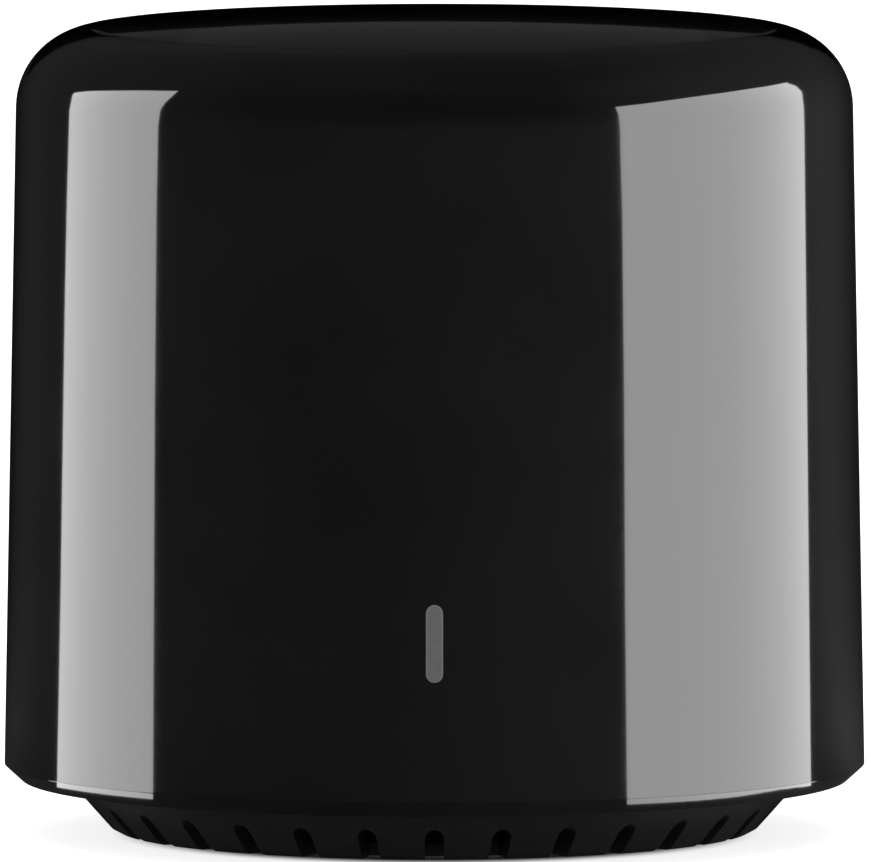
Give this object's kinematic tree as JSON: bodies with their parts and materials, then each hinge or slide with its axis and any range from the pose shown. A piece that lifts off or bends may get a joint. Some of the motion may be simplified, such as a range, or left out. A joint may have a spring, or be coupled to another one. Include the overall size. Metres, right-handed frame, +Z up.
{
  "type": "smart infrared blaster hub",
  "caption": "Small black tabletop hub that sends infrared remote codes all round; gloss shell over a vented matte base, with a rear power socket and a pinhole reset.",
  "frame": {"origin": "under the centre of the hub, on the surface it stands on (the underside of the rubber ring)", "axes": "+Z up the hub's axis, -Y the front with the indicator window, +Y the rear with the power socket, +X to the right seen from the front"},
  "size_m": [0.046, 0.046, 0.0432],
  "materials": {
    "shell_gloss_black": "high gloss moulded ABS",
    "base_matte_black": "fine matte moulded ABS",
    "foot_rubber": "matte non-slip rubber",
    "label_film": "blank matt film label",
    "light_guide_grey": "smoked translucent plastic",
    "circuit_board": "green solder mask",
    "tower_plastic": "natural moulded ABS",
    "screw_steel": "zinc plated steel",
    "socket_steel": "nickel plated sheet steel",
    "tinned_lead": "tinned metal",
    "gold_contact": "gold plated contact",
    "black_moulding": "black moulded plastic",
    "chip_epoxy": "black moulding epoxy",
    "ferrite": "dark ferrite",
    "capacitor_aluminium": "brushed aluminium can",
    "ceramic_tan": "tan ceramic",
    "indicator_white": "white moulded plastic",
    "infrared_lens": "dark infrared-clear epoxy",
    "receiver_black": "dark infrared-clear epoxy",
    "cable_white": "white flat cable",
    "connector_ivory": "ivory moulded plastic"
  },
  "bodies": {
    "housing": {"outer_shell": "shell_gloss_black", "base_housing": "base_matte_black", "foot_ring": "foot_rubber", "rating_label": "label_film", "light_guide": "light_guide_grey", "main_board": "circuit_board", "led_board": "circuit_board", "led_tower": "tower_plastic", "main_board_screws": "screw_steel", "led_board_screws": "screw_steel", "usb_socket_shell": "socket_steel", "usb_socket_tongue": "black_moulding", "usb_socket_contacts": "gold_contact", "reset_switch_housing": "black_moulding", "reset_switch_plate": "socket_steel", "reset_switch_dome": "socket_steel", "reset_switch_legs": "tinned_lead", "wifi_module_board": "circuit_board", "wifi_shield_can": "socket_steel", "wifi_antenna": "gold_contact", "wifi_module_pins": "gold_contact", "controller_chip": "chip_epoxy", "controller_chip_leads": "tinned_lead", "voltage_regulator": "chip_epoxy", "regulator_leads": "tinned_lead", "power_inductor": "ferrite", "smoothing_capacitor": "capacitor_aluminium", "crystal": "socket_steel", "smd_capacitors": "ceramic_tan", "smd_resistors": "chip_epoxy", "indicator_led": "indicator_white", "ir_receiver": "receiver_black", "ir_receiver_leads": "tinned_lead", "ir_led_1": "infrared_lens", "ir_led_2": "infrared_lens", "ir_led_3": "infrared_lens", "ir_led_4": "infrared_lens", "ir_led_5": "infrared_lens", "ir_led_6": "infrared_lens", "ir_led_top": "infrared_lens", "ir_led_leads": "tinned_lead", "led_driver_transistors": "chip_epoxy", "led_resistors": "chip_epoxy", "main_cable_connector": "connector_ivory", "led_cable_connector": "connector_ivory", "board_cable": "cable_white"},
    "reset_button": {"reset_button": "black_moulding"}
  },
  "joints": [
    {"name": "reset_press", "type": "slide", "parent": "housing", "child": "reset_button", "axis": [0, 0, 1], "range_m": [0, 0.00025], "stiffness_N_per_m": 6000, "deforming": ["reset_switch_dome"]}
  ]
}
